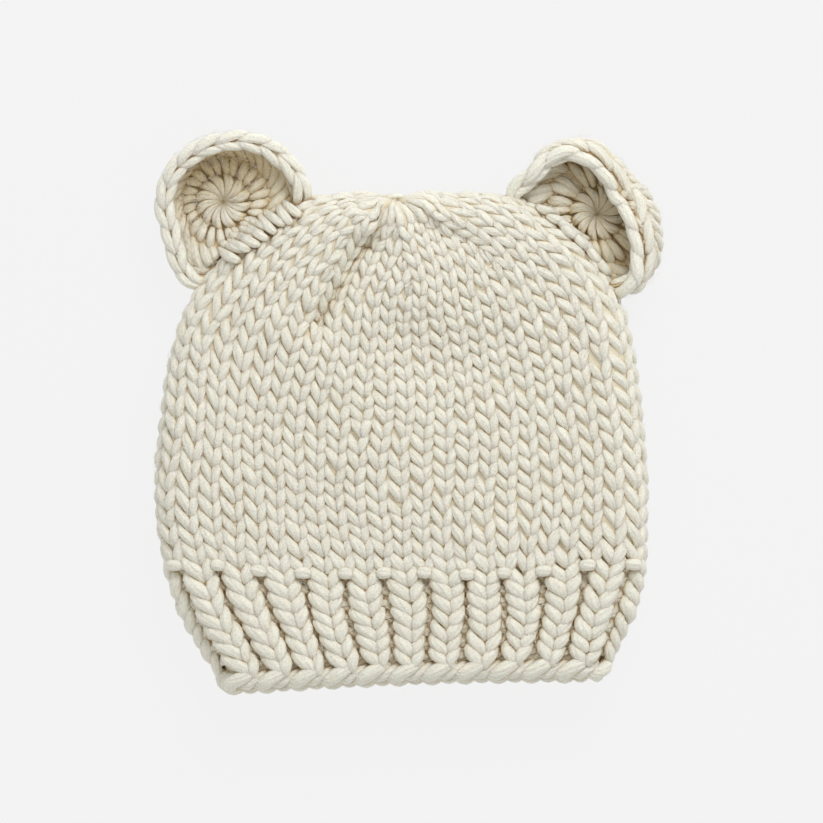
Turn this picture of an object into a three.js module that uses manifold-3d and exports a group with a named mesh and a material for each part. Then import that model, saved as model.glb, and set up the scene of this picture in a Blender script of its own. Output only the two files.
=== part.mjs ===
// A baby's hand-knitted hat with two crocheted ears, lying flat on its back.
// X runs across the hat, Y from the rim to the crown, Z up from the surface it lies on. Millimetres.
// The hat is one knitted tube: a ribbed band at the rim, a plain body, and a top drawn in to a point.
// Every piece hangs on the same mid-surface of the wall, counted in knitted rows and in turns round the hat.

import * as THREE from 'three';
import Module from 'manifold-3d';

const wasm = await Module();
wasm.setup();

// Outline of the hat as it lies
const BODY_WIDTH = 178;
const CROWN_LENGTH = 133;
const RIB_LENGTH = 41;
const RIM_WIDTH = 143;
const RIM_SHIFT = 4.4;
const RIM_TILT = 4.7;
const RIM_BOW = 1;
const BACK_RIM_DROP = 2;
const RIB_TOP_SAG = 4;
const RIB_SIDE_BOW = 2.4;
const GATHER_ACROSS = -2.5;

// Walls and lying heights
const KNIT_WALL = 6;
const RIB_WALL = 8.4;
const RIB_GROOVE = 3.2;
const BODY_LAY = 24;
const MOUTH_LAY = 23.5;
const EDGE_DIAMETER = 6.4;
const EDGE_RELIEF = 0.7;
const SEAT = 0.35;

// Knitting: rows in the ribbing, rows from the ribbing to the drawn-in top, ribs and wedges round the hat
const RIB_ROWS = 7;
const CROWN_ROWS = 24;
const RIBS = 24;
const WEDGES = 8;
const WEDGE_TURN = 1 / 48;
const SIDE_EVENNESS = 0.74;
const MIDDLE_EVENNESS = 0.935;

// Folds in the upper sheet and pleats round the drawn-in top
const FOLD_DEPTH = 4;
const FOLD_WIDTH = 9;
const PLEAT_DEPTH = 1.4;
const PLEAT_ROWS = 7;
const DRAWN_HOLE_ROWS = 0.4;
const LINING_SHORT_ROWS = 1.6;

// Ears
const EAR_RADIUS = 27;
const EAR_WALL = 4.4;
const EAR_ROLL = 6.5;
const EAR_DISC_RADIUS = 9.8;
const EAR_RELIEF = 0.7;
const EAR_REST = 2.2;
const EAR_TILT_RISE = 6;
const EDGING_DIAMETER = 6.4;

// Places of the ears' crocheted centres: across is a share of half the body width, up a share of the crown's
// length above the ribbing, so that the ears stay on the crown whatever its size
const LEFT_EAR_ACROSS = -0.7236;
const RIGHT_EAR_ACROSS = 0.7933;
const LEFT_EAR_UP = 0.9677;
const RIGHT_EAR_UP = 0.9346;

// Side outlines of the crown from the ribbing up to the drawn-in top: out is a share of half the body width,
// up a share of the crown's length.
const LEFT_SIDE = [
  { out: -0.962, up: 0 },
  { out: -0.996, up: 0.13 },
  { out: -1.0, up: 0.26 },
  { out: -0.975, up: 0.42 },
  { out: -0.935, up: 0.57 },
  { out: -0.865, up: 0.7 },
  { out: -0.72, up: 0.83 },
  { out: -0.53, up: 0.93 },
  { out: -0.36, up: 0.985 },
  { out: -0.2, up: 1.0 },
  { out: -0.08, up: 1.0 },
];
const RIGHT_SIDE = [
  { out: 0.985, up: 0 },
  { out: 1.0, up: 0.13 },
  { out: 0.995, up: 0.26 },
  { out: 0.975, up: 0.42 },
  { out: 0.945, up: 0.57 },
  { out: 0.895, up: 0.7 },
  { out: 0.78, up: 0.83 },
  { out: 0.61, up: 0.94 },
  { out: 0.43, up: 0.99 },
  { out: 0.22, up: 1.0 },
  { out: 0.05, up: 1.0 },
];
const GATHER_UP = 0.995;

// Valleys and ridges of the upper sheet. Each runs between two points: across is a share of half the body's
// width and up one of the crown's length. wide and deep are shares of the fold sizes, below 0 for a ridge.
const FOLDS = [
  { fromAcross: -0.08, fromUp: 0.87, toAcross: -0.33, toUp: 0.64, wide: 0.62, deep: 1.0 },
  { fromAcross: -0.24, fromUp: 0.9, toAcross: -0.5, toUp: 0.64, wide: 1.2, deep: -0.35 },
  { fromAcross: 0.02, fromUp: 0.74, toAcross: 0.1, toUp: 0.72, wide: 1.1, deep: -0.35 },
  { fromAcross: 0.04, fromUp: 0.58, toAcross: 0.22, toUp: 0.56, wide: 1.7, deep: 0.6 },
  { fromAcross: 0.55, fromUp: 0.5, toAcross: 0.6, toUp: 0.25, wide: 2.2, deep: 0.35 },
  { fromAcross: -0.45, fromUp: 0.3, toAcross: -0.3, toUp: 0.1, wide: 2.4, deep: 0.25 },
];

// Rim of each ear by compass angle about its crocheted centre, in degrees from +X. reach is the silhouette
// and roll the wall's turn-up radius, as shares of the ear's. curl is how far past upright the wall leans in.
const LEFT_RIM = [
  { angle: 8, reach: 1.2, roll: 1.0, curl: -45 },
  { angle: 34, reach: 1.12, roll: 1.3, curl: -30 },
  { angle: 62, reach: 1.03, roll: 1.4, curl: -12 },
  { angle: 90, reach: 0.93, roll: 1.4, curl: 2 },
  { angle: 120, reach: 0.89, roll: 1.4, curl: 4 },
  { angle: 150, reach: 0.9, roll: 1.4, curl: -8 },
  { angle: 180, reach: 0.92, roll: 1.3, curl: -20 },
  { angle: 204, reach: 0.92, roll: 1.2, curl: -28 },
  { angle: 225, reach: 1.04, roll: 1.1, curl: -35 },
  { angle: 250, reach: 1.26, roll: 1.0, curl: -50 },
  { angle: 280, reach: 1.1, roll: 0.8, curl: -85 },
  { angle: 340, reach: 1.1, roll: 0.8, curl: -85 },
];
const RIGHT_RIM = [
  { angle: 15, reach: 0.76, roll: 0.85, curl: 75 },
  { angle: 41, reach: 0.68, roll: 0.75, curl: 64 },
  { angle: 72, reach: 0.78, roll: 0.85, curl: 60 },
  { angle: 93, reach: 0.99, roll: 1.0, curl: 60 },
  { angle: 119, reach: 1.12, roll: 1.0, curl: 28 },
  { angle: 150, reach: 1.16, roll: 1.0, curl: -5 },
  { angle: 168, reach: 1.28, roll: 0.8, curl: -50 },
  { angle: 200, reach: 1.1, roll: 0.8, curl: -85 },
  { angle: 265, reach: 1.1, roll: 0.8, curl: -85 },
  { angle: 290, reach: 1.2, roll: 0.8, curl: -10 },
  { angle: 312, reach: 1.12, roll: 0.9, curl: 58 },
  { angle: 345, reach: 0.87, roll: 1.0, curl: 75 },
];

// Rounds of crochet, from the middle of an ear outwards: disc is a share of the centre disc's radius, wall a
// share of the way from the disc to the rim, relief a share of the ear's relief.
const EAR_ROUNDS = [
  { disc: 0.08, wall: 0, relief: -0.6 },
  { disc: 0.6, wall: 0, relief: 0.5 },
  { disc: 1, wall: 0, relief: -1 },
  { disc: 1, wall: 0.2, relief: 0.5 },
  { disc: 1, wall: 0.38, relief: -0.6 },
  { disc: 1, wall: 0.55, relief: 0.5 },
  { disc: 1, wall: 0.72, relief: -0.6 },
  { disc: 1, wall: 0.87, relief: 0.4 },
  { disc: 1, wall: 1, relief: 0 },
];

// The last round runs round each rim from one meeting with the crown to the other, in degrees.
const LEFT_RIM_ENDS = { from: 2, to: 256 };
const RIGHT_RIM_ENDS = { from: -75, to: 173 };

const wool = new THREE.MeshStandardMaterial({ color: 0xe9e3d3, roughness: 0.95, metalness: 0 });
const TAU = 2 * Math.PI;

// The mid-surface of the wall

const halfWidth = (BODY_WIDTH - KNIT_WALL) / 2;
const crownLength = CROWN_LENGTH - KNIT_WALL / 2;
const gather = new THREE.Vector2(GATHER_ACROSS, RIB_LENGTH + GATHER_UP * crownLength);

function crownSide(table) {
  const points = table.map((p) => new THREE.Vector2(p.out * halfWidth, RIB_LENGTH + p.up * crownLength));
  return new THREE.SplineCurve([...points, gather]);
}

function ribSide(crownCurve, side) {
  const rim = new THREE.Vector2(
    RIM_SHIFT + side * (RIM_WIDTH - RIB_WALL) / 2,
    (side - 1) * RIM_TILT / 2 + RIM_TILT,
  );
  const top = crownCurve.getPoint(0);
  const bow = new THREE.Vector2(side * RIB_SIDE_BOW, 0);
  return new THREE.SplineCurve([rim, rim.clone().lerp(top, 0.5).add(bow), top]);
}

const leftCrown = crownSide(LEFT_SIDE);
const rightCrown = crownSide(RIGHT_SIDE);
const leftRib = ribSide(leftCrown, -1);
const rightRib = ribSide(rightCrown, 1);
for (const curve of [leftCrown, rightCrown]) curve.arcLengthDivisions = 800;

// Rows lie closer together in the body than round the top, more so at the sides than down the middle.
const eased = (share, evenness) => evenness * share + (1 - evenness) * share ** 3;

function sidePoint(ribCurve, crownCurve, row) {
  if (row <= RIB_ROWS) return ribAlong(ribCurve, row);
  const share = Math.min(1, (row - RIB_ROWS) / CROWN_ROWS);
  return crownCurve.getPointAt(eased(share, SIDE_EVENNESS));
}

function ribAlong(ribCurve, row) {
  if (row >= 0) return ribCurve.getPointAt(row / RIB_ROWS);
  return ribCurve.getPointAt(0).add(new THREE.Vector2(0, row * RIB_LENGTH / RIB_ROWS));
}

function middlePoint(row) {
  const rim = leftRib.getPoint(0).lerp(rightRib.getPoint(0), 0.5);
  const ribTop = leftCrown.getPoint(0).lerp(rightCrown.getPoint(0), 0.5);
  ribTop.y -= RIB_TOP_SAG;
  rim.y += RIM_BOW;
  if (row <= RIB_ROWS) return rim.lerp(ribTop, row / RIB_ROWS);
  const share = Math.min(1, (row - RIB_ROWS) / CROWN_ROWS);
  return ribTop.lerp(gather, eased(share, MIDDLE_EVENNESS));
}

// A row crosses the lying hat in an arc from the left fold through the middle to the right fold.
const knownArcs = new Map();

function rowArc(row) {
  const known = knownArcs.get(row);
  if (known) return known;
  const left = sidePoint(leftRib, leftCrown, row);
  const right = sidePoint(rightRib, rightCrown, row);
  const centre = left.clone().lerp(right, 0.5);
  const along = right.clone().sub(left).normalize();
  const down = new THREE.Vector2(along.y, -along.x);
  const half = Math.max(left.distanceTo(right) / 2, 1e-6);
  const bulge = middlePoint(row).sub(centre).dot(down);
  const sweep = 2 * Math.atan(bulge / half);
  const bent = Math.abs(sweep) > 1e-4;
  const radius = bent ? half / Math.sin(sweep) : 0;
  const length = bent ? 2 * radius * sweep : 2 * half;
  const at = (s) => {
    const x = bent ? radius * Math.sin(s * sweep) : s * half;
    const y = bent ? radius * (Math.cos(s * sweep) - Math.cos(sweep)) : bulge * (1 - s * s);
    return centre.clone().addScaledVector(along, x).addScaledVector(down, y);
  };
  const arc = { length, at };
  knownArcs.set(row, arc);
  return arc;
}

function wallAt(row) {
  const plain = THREE.MathUtils.smoothstep(row, RIB_ROWS - 1, RIB_ROWS + 2);
  return THREE.MathUtils.lerp(RIB_WALL, KNIT_WALL, plain);
}

function foldRadius(row) {
  const lay = THREE.MathUtils.lerp(MOUTH_LAY, BODY_LAY, THREE.MathUtils.smoothstep(row, 0, RIB_ROWS + 3));
  return (lay - wallAt(row)) / 2;
}

// Half the gap between the sheets, which closes round the drawn-in top.
function closedRadius(row, arcLength) {
  const full = foldRadius(row);
  const toGather = middlePoint(row).distanceTo(gather);
  const near = Math.min(1, toGather / full);
  return Math.min(full * Math.sqrt(1 - (1 - near) ** 2), arcLength / 2);
}

function foldDepth(point) {
  let depth = 0;
  for (const fold of FOLDS) {
    const from = new THREE.Vector2(fold.fromAcross * halfWidth, RIB_LENGTH + fold.fromUp * crownLength);
    const to = new THREE.Vector2(fold.toAcross * halfWidth, RIB_LENGTH + fold.toUp * crownLength);
    const run = to.sub(from);
    const share = THREE.MathUtils.clamp(point.clone().sub(from).dot(run) / run.lengthSq(), 0, 1);
    const distance = point.distanceTo(from.addScaledVector(run, share));
    depth += fold.deep * FOLD_DEPTH * Math.exp(-((distance / (fold.wide * FOLD_WIDTH)) ** 2));
  }
  return depth;
}

// turn goes once round the hat: 0 at the left fold, 0.25 in the middle of the upper sheet, 0.5 at the right.
function midPoint(turn, row) {
  const arc = rowArc(row);
  const radius = closedRadius(row, arc.length);
  const straight = Math.max(arc.length - 2 * radius, 0);
  const halfway = Math.PI * radius + straight;
  const wrapped = turn - Math.floor(turn);
  const upper = wrapped < 0.5;
  const walked = (upper ? wrapped : 1 - wrapped) * 2 * halfway;
  const quarter = Math.PI * radius / 2;
  let across = walked - quarter - straight / 2;
  let rise = radius;
  if (walked < quarter || walked > quarter + straight) {
    const left = walked < quarter;
    const angle = radius > 0 ? (left ? walked : halfway - walked) / radius : 0;
    across = (left ? -1 : 1) * (straight / 2 + radius * Math.cos(angle));
    rise = radius * Math.sin(angle);
  }
  const flat = arc.at(across / (arc.length / 2 || 1));
  const lift = radius > 0 ? rise / radius : 0;
  if (!upper) flat.y -= BACK_RIM_DROP * lift * (1 - THREE.MathUtils.smoothstep(row, -1, RIB_ROWS));
  const pleats = Math.cos(TAU * WEDGES * (turn - WEDGE_TURN))
    * THREE.MathUtils.smoothstep(row, RIB_ROWS + CROWN_ROWS - PLEAT_ROWS, RIB_ROWS + CROWN_ROWS - 1);
  const dip = upper ? foldDepth(flat) * lift * Math.min(1, radius / foldRadius(row)) : 0;
  const level = wallAt(row) / 2 + foldRadius(row);
  const height = (rise + PLEAT_DEPTH * pleats * lift) * (upper ? 1 : -1) - dip;
  return new THREE.Vector3(flat.x, flat.y, level + height);
}

function wallPoint(turn, row, offset) {
  const dTurn = 0.002;
  const dRow = 0.6;
  const round = midPoint(turn + dTurn, row).sub(midPoint(turn - dTurn, row));
  const up = midPoint(turn, row + dRow).sub(midPoint(turn, row - dRow));
  const normal = up.cross(round).normalize();
  const point = midPoint(turn, row).addScaledVector(normal, -offset);
  point.z = Math.max(point.z, offset > 0 ? 0 : wallAt(row) / 2);
  return point;
}

// Solids

function toSolid(positions, triangles) {
  return new wasm.Manifold(new wasm.Mesh({
    numProp: 3,
    vertProperties: new Float32Array(positions.flatMap((p) => [p.x, p.y, p.z])),
    triVerts: new Uint32Array(triangles.flat()),
  }));
}

// Joins closed rings of points with quads. The ends are fans to a middle point, or the last ring meets the
// first.
function loft(rings, ringToRing = false) {
  const count = rings[0].length;
  const positions = rings.flat();
  const triangles = [];
  const spans = ringToRing ? rings.length : rings.length - 1;
  for (let i = 0; i < spans; i += 1) {
    const low = i * count;
    const high = ((i + 1) % rings.length) * count;
    for (let j = 0; j < count; j += 1) {
      const next = (j + 1) % count;
      triangles.push([low + j, low + next, high + next], [low + j, high + next, high + j]);
    }
  }
  if (!ringToRing) {
    const first = positions.length;
    const centre = (ring) => ring.reduce((sum, p) => sum.add(p), new THREE.Vector3()).divideScalar(count);
    positions.push(centre(rings[0]), centre(rings.at(-1)));
    const top = (rings.length - 1) * count;
    for (let j = 0; j < count; j += 1) {
      const next = (j + 1) % count;
      triangles.push([first, next, j], [first + 1, top + j, top + next]);
    }
  }
  let solid = toSolid(positions, triangles);
  if (solid.volume() < 0) solid = toSolid(positions, triangles.map(([a, b, c]) => [a, c, b]));
  return solid;
}

function meshOf(name, solid) {
  const { vertProperties, triVerts, numProp } = solid.getMesh();
  const geometry = new THREE.BufferGeometry();
  const positions = new Float32Array((vertProperties.length / numProp) * 3);
  for (let i = 0; i < positions.length / 3; i += 1) {
    for (let k = 0; k < 3; k += 1) positions[3 * i + k] = vertProperties[numProp * i + k];
  }
  geometry.setAttribute('position', new THREE.BufferAttribute(positions, 3));
  geometry.setIndex(new THREE.BufferAttribute(new Uint32Array(triVerts), 1));
  geometry.computeVertexNormals();
  const mesh = new THREE.Mesh(geometry, wool.clone());
  mesh.name = name;
  return mesh;
}

function steps(from, to, count) {
  return Array.from({ length: count + 1 }, (_, i) => from + (to - from) * i / count);
}

const turns = (count) => steps(0, 1, count).slice(0, -1);

// The crown: plain knitted wall from the ribbing to the drawn-in top, open below

const CROWN_AROUND = 80;
const crownStart = RIB_ROWS + SEAT * RIB_ROWS / RIB_LENGTH;
const crownEnd = RIB_ROWS + CROWN_ROWS - DRAWN_HOLE_ROWS;

const crownRows = (end, low, high) => [
  ...steps(crownStart, crownEnd - 8, low),
  ...steps(crownEnd - 8, end, high).slice(1),
];
const crownRing = (row, offset) => turns(CROWN_AROUND).map((turn) => wallPoint(turn, row, offset));

function crownHull(spare) {
  return loft(crownRows(crownEnd, 7, 8).map((row) => crownRing(row, wallAt(row) / 2 + spare)));
}

function crownShell() {
  const outer = crownRows(crownEnd, 7, 8).map((row) => crownRing(row, wallAt(row) / 2));
  const lining = crownRows(crownEnd - LINING_SHORT_ROWS, 5, 5).map((row) => crownRing(row, -wallAt(row) / 2));
  return loft([...outer.reverse(), ...lining]);
}

// The ribbed band: knit ribs stand out, the purl columns between them lie back

const RIB_AROUND = RIBS * 4;

function ribOffset(turn, side) {
  const rib = Math.cos(TAU * RIBS * turn);
  return side * RIB_WALL / 2 - (side > 0 ? 1 - rib : -(1 + rib)) * RIB_GROOVE / 4;
}

function ribBand() {
  const ends = SEAT * RIB_ROWS / RIB_LENGTH / 2;
  const rows = steps(ends, RIB_ROWS - ends, 4);
  const wall = (row, side) => turns(RIB_AROUND).map((turn) => wallPoint(turn, row, ribOffset(turn, side)));
  return loft([...rows.map((row) => wall(row, 1)), ...rows.reverse().map((row) => wall(row, -1))], true);
}

// The cast-on edge: a rope of yarn laid round the rim

const EDGE_AROUND = RIBS * 4;
const EDGE_SIDES = 8;

function castOnEdge() {
  const below = -(EDGE_DIAMETER / 2 + 2 * SEAT) * RIB_ROWS / RIB_LENGTH;
  const rings = turns(EDGE_AROUND).map((turn) => {
    const centre = midPoint(turn, below);
    const ahead = midPoint(turn + 0.003, below).sub(midPoint(turn - 0.003, below)).normalize();
    const up = new THREE.Vector3(0, 1, 0).addScaledVector(ahead, -ahead.y).normalize();
    const out = new THREE.Vector3().crossVectors(ahead, up);
    return turns(EDGE_SIDES).map((share) => {
      const angle = TAU * share;
      const twist = Math.cos(2 * angle - TAU * RIBS * turn);
      const radius = EDGE_DIAMETER / 2 - EDGE_RELIEF * (1 - twist) / 2;
      const point = centre.clone()
        .addScaledVector(up, radius * Math.cos(angle))
        .addScaledVector(out, radius * Math.sin(angle));
      point.z = Math.max(point.z, 0);
      return point;
    });
  });
  return loft(rings, true);
}

// The ears: discs crocheted in the round, their outer rounds turned up into a cup and finished with a chain

// Rows of a rim table run on smoothly round the whole circle.
function rimCurve(table) {
  const rows = [-360, 0, 360].flatMap((lap) => table.map((row) => ({ ...row, angle: row.angle + lap })));
  const values = rows.flatMap((row) => [row.reach, row.roll, row.curl]);
  return new THREE.CubicInterpolant(rows.map((row) => row.angle), values, 3, new Float32Array(3));
}

// The last crocheted round or the wall's outer face, whichever reaches further out, makes the silhouette.
function rimAt(ear, degrees) {
  const [reach, share, lean] = ear.rim.evaluate(THREE.MathUtils.euclideanModulo(degrees, 360));
  const roll = share * EAR_ROLL;
  const curl = THREE.MathUtils.degToRad(lean);
  const wallReach = roll * Math.cos(Math.min(curl, 0)) + EAR_WALL / 2;
  const edging = EDGING_DIAMETER / 2;
  const edgingReach = roll * Math.cos(curl) - (edging + SEAT) * Math.sin(curl) + edging;
  return { flat: reach * EAR_RADIUS - Math.max(wallReach, edgingReach), roll, curl };
}

// A point of the ear's mid-surface, by compass angle and distance walked from the crocheted centre, over the
// disc and up the rolled wall.
function earPoint(ear, degrees, walked) {
  const { flat, roll } = rimAt(ear, degrees);
  const angle = Math.max(0, walked - flat) / roll;
  const out = Math.min(walked, flat) + roll * Math.sin(angle);
  const rise = roll * (1 - Math.cos(angle));
  const compass = THREE.MathUtils.degToRad(degrees);
  const x = out * Math.cos(compass);
  const y = out * Math.sin(compass);
  const toHat = (x * ear.toHat.x + y * ear.toHat.y) / EAR_RADIUS;
  const tilt = EAR_TILT_RISE * (0.5 + 0.5 * THREE.MathUtils.clamp(toHat, -1, 1)) ** 2;
  return new THREE.Vector3(ear.across + x, ear.up + y, EAR_REST + EAR_WALL / 2 + rise + tilt);
}

function earLength(ear, degrees) {
  const { flat, roll, curl } = rimAt(ear, degrees);
  return flat + roll * (Math.PI / 2 + curl);
}

function earNormal(ear, degrees, walked) {
  const at = Math.max(walked, 0.5);
  const round = earPoint(ear, degrees + 1, at).sub(earPoint(ear, degrees - 1, at));
  const outward = earPoint(ear, degrees, at + 0.1).sub(earPoint(ear, degrees, at - 0.1));
  return outward.cross(round).normalize();
}

const EAR_AROUND = 36;

function earShell(ear) {
  const ring = ({ disc, wall, relief }, side) => turns(EAR_AROUND).map((turn) => {
    const degrees = 360 * turn;
    const centre = disc * EAR_DISC_RADIUS;
    const walked = centre + wall * (earLength(ear, degrees) - centre);
    const offset = side * EAR_WALL / 2 + (side > 0 ? relief * EAR_RELIEF : 0);
    return earPoint(ear, degrees, walked).addScaledVector(earNormal(ear, degrees, walked), offset);
  });
  const inside = EAR_ROUNDS.map((round) => ring(round, 1));
  const outside = EAR_ROUNDS.map((round) => ring(round, -1)).reverse();
  return loft([...inside, ...outside]);
}

function earEdging(ear, spare) {
  const { from, to } = ear.ends;
  const radius = EDGING_DIAMETER / 2 + spare;
  const rings = steps(from, to, 30).map((degrees) => {
    const end = earLength(ear, degrees) + EDGING_DIAMETER / 2 + SEAT;
    const centre = earPoint(ear, degrees, end);
    const up = earPoint(ear, degrees, end + 0.2).sub(earPoint(ear, degrees, end - 0.2)).normalize();
    const normal = earNormal(ear, degrees, end);
    return turns(8).map((share) => centre.clone()
      .addScaledVector(up, radius * Math.cos(TAU * share))
      .addScaledVector(normal, radius * Math.sin(TAU * share)));
  });
  return loft(rings);
}

const leftEar = {
  rim: rimCurve(LEFT_RIM),
  ends: LEFT_RIM_ENDS,
  across: LEFT_EAR_ACROSS * BODY_WIDTH / 2,
  up: RIB_LENGTH + LEFT_EAR_UP * CROWN_LENGTH,
  toHat: new THREE.Vector2(1, -1).normalize(),
};
const rightEar = {
  rim: rimCurve(RIGHT_RIM),
  ends: RIGHT_RIM_ENDS,
  across: RIGHT_EAR_ACROSS * BODY_WIDTH / 2,
  up: RIB_LENGTH + RIGHT_EAR_UP * CROWN_LENGTH,
  toHat: new THREE.Vector2(-1, -1).normalize(),
};

// The finished hat, with its origin under the middle of its box

const crownClear = crownHull(SEAT);
const hat = new THREE.Group();
hat.add(meshOf('crown', crownShell()));
hat.add(meshOf('rib_band', ribBand()));
hat.add(meshOf('cast_on_edge', castOnEdge()));
for (const [side, ear] of [['left', leftEar], ['right', rightEar]]) {
  hat.add(meshOf(`ear_${side}`, earShell(ear).subtract(crownClear).subtract(earEdging(ear, SEAT))));
  hat.add(meshOf(`ear_${side}_edging`, earEdging(ear, 0).subtract(crownClear)));
}

const box = new THREE.Box3().setFromObject(hat);
const middle = box.getCenter(new THREE.Vector3());
hat.position.set(-middle.x, -middle.y, -box.min.z);

export default hat;
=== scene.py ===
import math

import bmesh
import bpy
import numpy as np
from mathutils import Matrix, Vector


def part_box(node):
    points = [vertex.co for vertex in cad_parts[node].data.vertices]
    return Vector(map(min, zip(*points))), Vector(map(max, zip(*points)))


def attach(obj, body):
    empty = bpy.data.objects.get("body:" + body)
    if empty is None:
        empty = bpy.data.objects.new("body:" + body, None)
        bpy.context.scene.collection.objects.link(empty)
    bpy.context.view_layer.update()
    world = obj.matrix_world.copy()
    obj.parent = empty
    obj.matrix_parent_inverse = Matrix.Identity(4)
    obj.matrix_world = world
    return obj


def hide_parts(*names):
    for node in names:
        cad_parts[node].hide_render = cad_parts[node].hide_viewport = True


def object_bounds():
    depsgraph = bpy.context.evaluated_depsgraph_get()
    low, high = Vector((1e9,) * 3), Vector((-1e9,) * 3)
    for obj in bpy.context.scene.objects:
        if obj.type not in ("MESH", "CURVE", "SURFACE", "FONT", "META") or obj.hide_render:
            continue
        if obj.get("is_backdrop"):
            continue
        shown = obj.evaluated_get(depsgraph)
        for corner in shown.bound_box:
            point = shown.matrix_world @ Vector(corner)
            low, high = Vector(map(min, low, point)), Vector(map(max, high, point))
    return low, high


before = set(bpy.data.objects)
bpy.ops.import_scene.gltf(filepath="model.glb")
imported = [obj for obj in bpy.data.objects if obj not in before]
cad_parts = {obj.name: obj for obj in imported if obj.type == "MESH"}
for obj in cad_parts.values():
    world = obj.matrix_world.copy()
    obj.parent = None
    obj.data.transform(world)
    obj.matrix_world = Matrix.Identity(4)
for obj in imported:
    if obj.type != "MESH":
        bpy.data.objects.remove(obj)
cad_low, cad_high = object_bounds()

# The lie of the knitting. The real hat is one soft tube of chunky wool, ribbed at the brim and drawn in at
# the top, and it lies flat on its back. Every stitch below is placed on the mid-surface of that folded tube,
# by its turn round the hat and its row up from the rim. Lengths are millimetres until a piece becomes a mesh.
BODY_WIDTH = 178.0
CROWN_LENGTH = 133.0
RIB_LENGTH = 41.0
RIM_WIDTH = 143.0
RIM_SHIFT = 4.4
RIM_TILT = 4.7
RIM_BOW = 1.0
BACK_RIM_DROP = 2.0
RIB_TOP_SAG = 4.0
RIB_SIDE_BOW = 2.4
KNIT_WALL = 6.0
RIB_WALL = 8.4
BODY_LAY = 24.0
MOUTH_LAY = 23.5
RIB_ROWS = 7
CROWN_ROWS = 24
SIDE_EVENNESS = 0.97
MIDDLE_EVENNESS = 1.04
WEDGES = 8
PLEAT_DEPTH = 1.4
PLEAT_ROWS = 7
FOLD_DEPTH = 4.0
FOLD_WIDTH = 9.0
LEFT_SIDE = [
    (-0.962, 0), (-0.996, 0.13), (-1, 0.26), (-0.975, 0.42), (-0.935, 0.57), (-0.865, 0.7),
    (-0.72, 0.83), (-0.53, 0.93), (-0.36, 0.985), (-0.2, 1), (-0.08, 1),
]
RIGHT_SIDE = [
    (0.985, 0), (1, 0.13), (0.995, 0.26), (0.975, 0.42), (0.945, 0.57), (0.895, 0.7),
    (0.78, 0.83), (0.61, 0.94), (0.43, 0.99), (0.22, 1), (0.05, 1),
]
# Valleys (deep above 0) and ridges (below 0) of the upper sheet: from across, up to across, up, wide, deep.
FOLDS = [
    (-0.17, 0.86, -0.34, 0.66, 0.6, 2.1),
    (-0.10, 0.95, -0.12, 0.87, 0.4, 0.9),
    (-0.26, 0.90, -0.50, 0.66, 1.1, -0.5),
    (0.02, 0.74, 0.10, 0.72, 1.1, -0.35),
    (0.04, 0.58, 0.22, 0.56, 1.7, 0.6),
    (0.15, 0.92, 0.27, 0.88, 0.5, 0.7),
    (0.55, 0.50, 0.60, 0.25, 2.2, 0.35),
    (-0.45, 0.30, -0.30, 0.10, 2.4, 0.25),
]
half_body = (BODY_WIDTH - KNIT_WALL) / 2
crown_length = CROWN_LENGTH - KNIT_WALL / 2
gather = np.array([-2.5, RIB_LENGTH + 0.995 * crown_length])
wedge_line = 13 / 48


def length_of(vectors):
    return np.sqrt((vectors**2).sum(-1))


def outline(points, samples=900):
    """A smooth line through the points of one side, given back as a place for each share of its length."""
    points = np.array(points, float)
    place = np.linspace(0, len(points) - 1, samples)
    i = np.minimum(place.astype(int), len(points) - 2)
    t = (place - i)[:, None]
    before, start = points[np.maximum(i - 1, 0)], points[i]
    end, after = points[i + 1], points[np.minimum(i + 2, len(points) - 1)]
    leave, arrive = (end - before) / 2, (after - start) / 2
    line = (2 * start - 2 * end + leave + arrive) * t**3
    line += (3 * end - 3 * start - 2 * leave - arrive) * t**2 + leave * t + start
    walked = np.concatenate([[0], np.cumsum(length_of(np.diff(line, axis=0)))])
    walked /= walked[-1]
    return lambda share: np.stack([np.interp(share, walked, line[:, k]) for k in (0, 1)], -1)


def rib_side(top, side):
    rim = np.array([RIM_SHIFT + side * (RIM_WIDTH - RIB_WALL) / 2, (side + 1) * RIM_TILT / 2])
    return outline([rim, (rim + top) / 2 + [side * RIB_SIDE_BOW, 0], top])


def crown_side(table):
    return outline([(out * half_body, RIB_LENGTH + up * crown_length) for out, up in table] + [gather])


crown_left, crown_right = crown_side(LEFT_SIDE), crown_side(RIGHT_SIDE)
rib_left, rib_right = rib_side(crown_left(0.0), -1), rib_side(crown_right(0.0), 1)


def eased(share, evenness):
    return evenness * share + (1 - evenness) * share**3


def smooth(low, high, value):
    share = np.clip((value - low) / (high - low), 0, 1)
    return share * share * (3 - 2 * share)


def side_place(rib, crown, row):
    low = rib(np.clip(row / RIB_ROWS, 0, 1))
    low[..., 1] += np.minimum(row, 0) * RIB_LENGTH / RIB_ROWS
    high = crown(eased(np.clip((row - RIB_ROWS) / CROWN_ROWS, 0, 1), SIDE_EVENNESS))
    return np.where((row <= RIB_ROWS)[..., None], low, high)


def middle_place(row):
    rim = (rib_left(0.0) + rib_right(0.0)) / 2 + [0, RIM_BOW]
    rib_top = (crown_left(0.0) + crown_right(0.0)) / 2 - [0, RIB_TOP_SAG]
    share = eased(np.clip((row - RIB_ROWS) / CROWN_ROWS, 0, 1), MIDDLE_EVENNESS)[..., None]
    low = rim + (rib_top - rim) * (row / RIB_ROWS)[..., None]
    return np.where((row <= RIB_ROWS)[..., None], low, rib_top + (gather - rib_top) * share)


def wall_at(row):
    return RIB_WALL + (KNIT_WALL - RIB_WALL) * smooth(RIB_ROWS - 1, RIB_ROWS + 2, row)


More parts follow.
